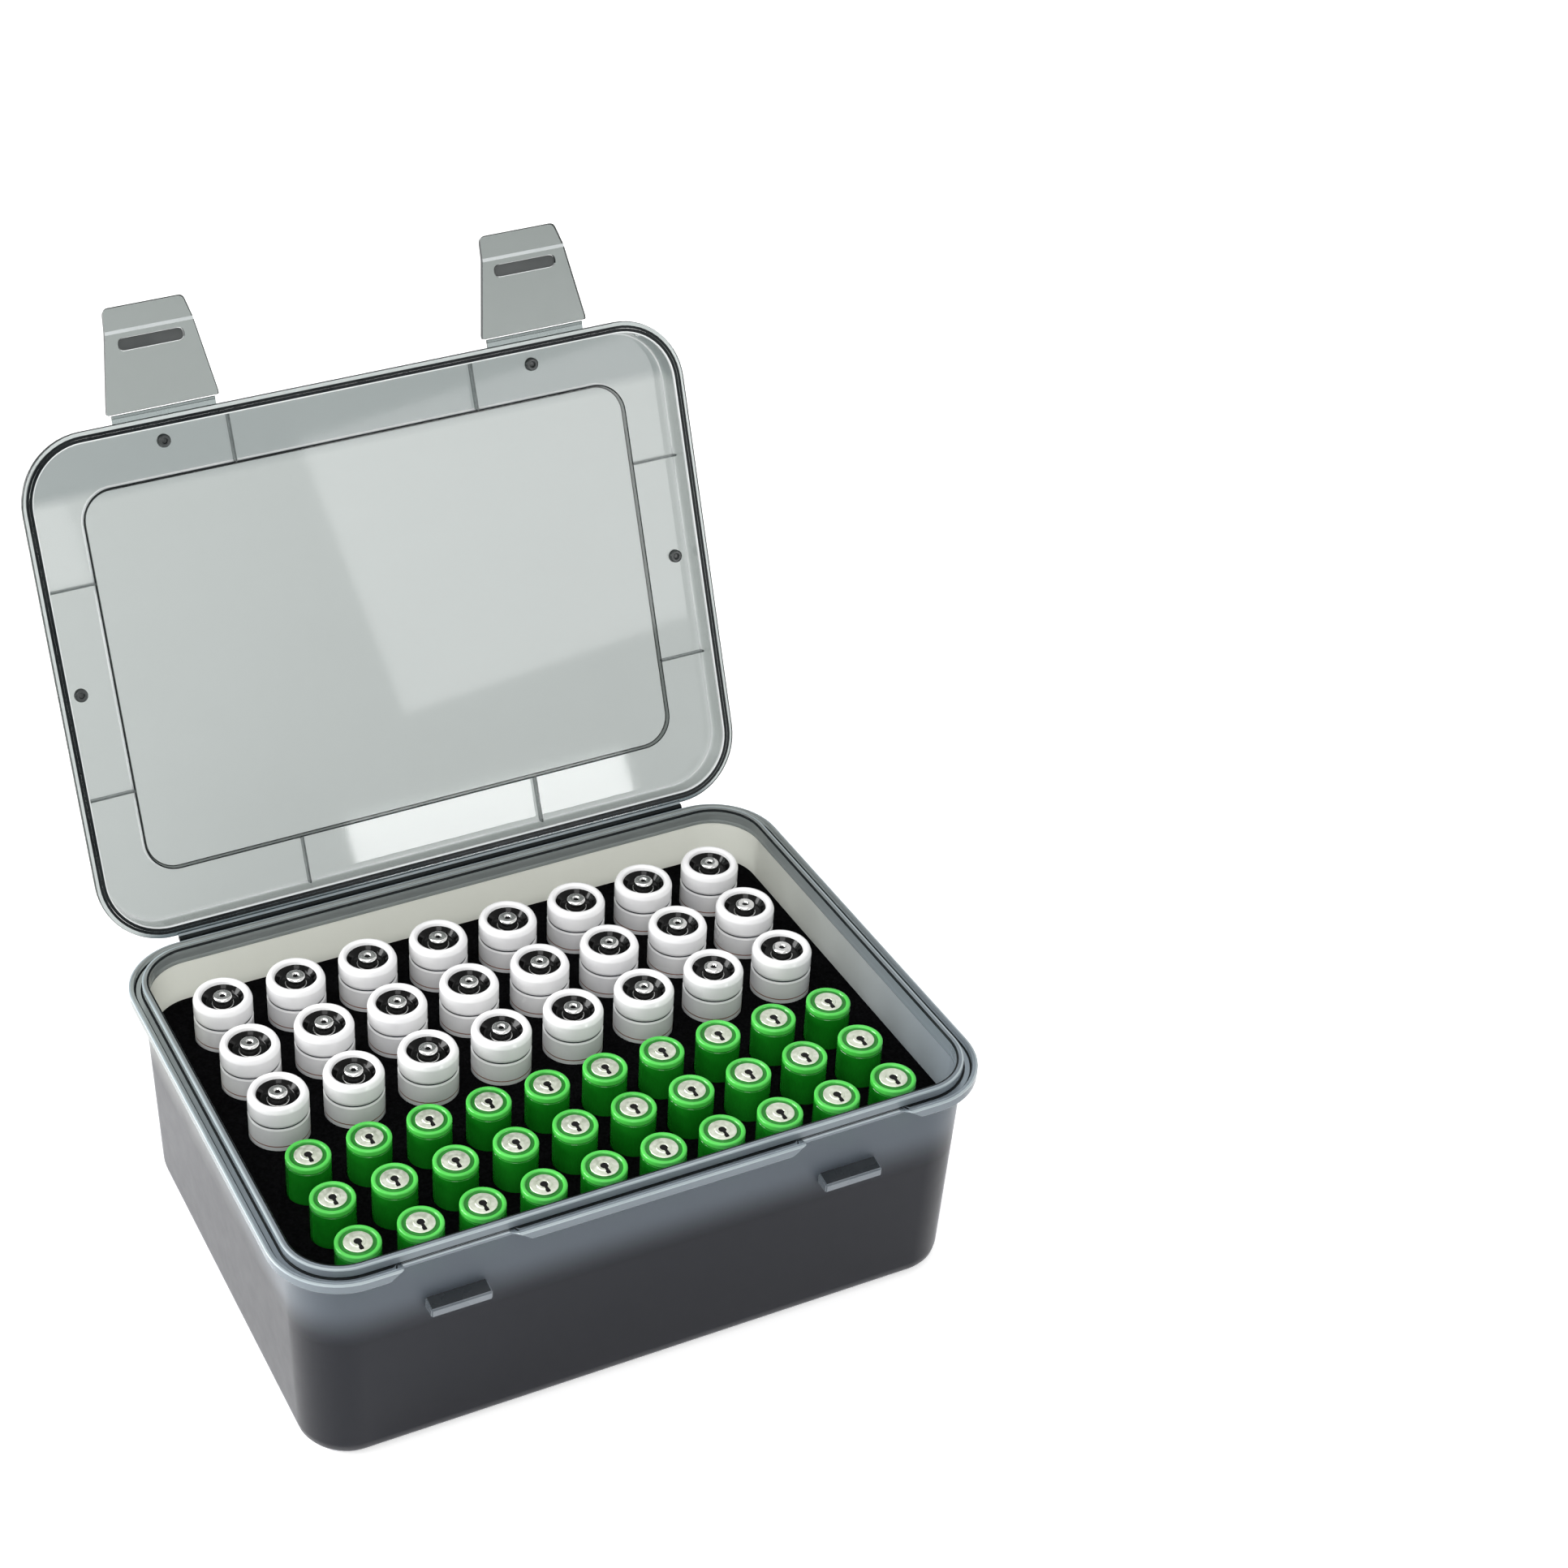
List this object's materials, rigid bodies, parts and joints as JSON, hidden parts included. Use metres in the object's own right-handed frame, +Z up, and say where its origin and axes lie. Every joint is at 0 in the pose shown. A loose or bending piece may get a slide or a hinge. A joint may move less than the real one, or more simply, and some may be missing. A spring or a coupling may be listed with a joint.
{
  "type": "cell storage case",
  "caption": "Hinged-lid plastic storage case with two snap latches and a block tray of bores holding loose round cells upright in two sizes",
  "frame": {"origin": "middle of the tub's underside, on the surface the case stands on", "axes": "+X to the right seen from the latch side, +Y from the latches to the hinge, +Z up; the lid stands open"},
  "size_m": [0.174, 0.1877, 0.2002],
  "materials": {
    "smoke_plastic": "translucent smoke-grey moulding, satin",
    "tray_foam": "matt black block foam",
    "cell_white": "gloss white sleeve",
    "cell_green": "gloss green sleeve"
  },
  "bodies": {
    "base": {"base_shell": "smoke_plastic", "cell_tray": "tray_foam", "hinge_strip": "smoke_plastic"},
    "lid": {"lid_shell": "smoke_plastic", "latch_hinge_left": "smoke_plastic", "latch_hinge_right": "smoke_plastic"},
    "latch_left": {"latch_left": "smoke_plastic"},
    "latch_right": {"latch_right": "smoke_plastic"},
    "aa_row_back": {"aa_row_back": "cell_white"},
    "aa_row_middle": {"aa_row_middle": "cell_white"},
    "aa_row_front": {"aa_row_front": "cell_white"},
    "aaa_row_back": {"aaa_row_back": "cell_green"},
    "aaa_row_middle": {"aaa_row_middle": "cell_green"},
    "aaa_row_front": {"aaa_row_front": "cell_green"}
  },
  "joints": [
    {"name": "lid_hinge", "type": "hinge", "parent": "base", "child": "lid", "pos_m": [0, 0.0638, 0.0587], "axis": [-1, 0, 0], "range_deg": [-112, 68]},
    {"name": "latch_left_flex", "type": "hinge", "parent": "lid", "child": "latch_left", "pos_m": [-0.04855, 0.1127, 0.17732], "axis": [-1, 0, 0], "range_deg": [-94, 0]},
    {"name": "latch_right_flex", "type": "hinge", "parent": "lid", "child": "latch_right", "pos_m": [0.04855, 0.1127, 0.17732], "axis": [-1, 0, 0], "range_deg": [-94, 0]},
    {"name": "aa_row_back_lift", "type": "slide", "parent": "base", "child": "aa_row_back", "axis": [0, 0, 1], "range_m": [0, 0.04]},
    {"name": "aa_row_middle_lift", "type": "slide", "parent": "base", "child": "aa_row_middle", "axis": [0, 0, 1], "range_m": [0, 0.04]},
    {"name": "aa_row_front_lift", "type": "slide", "parent": "base", "child": "aa_row_front", "axis": [0, 0, 1], "range_m": [0, 0.04]},
    {"name": "aaa_row_back_lift", "type": "slide", "parent": "base", "child": "aaa_row_back", "axis": [0, 0, 1], "range_m": [0, 0.036]},
    {"name": "aaa_row_middle_lift", "type": "slide", "parent": "base", "child": "aaa_row_middle", "axis": [0, 0, 1], "range_m": [0, 0.036]},
    {"name": "aaa_row_front_lift", "type": "slide", "parent": "base", "child": "aaa_row_front", "axis": [0, 0, 1], "range_m": [0, 0.036]}
  ]
}
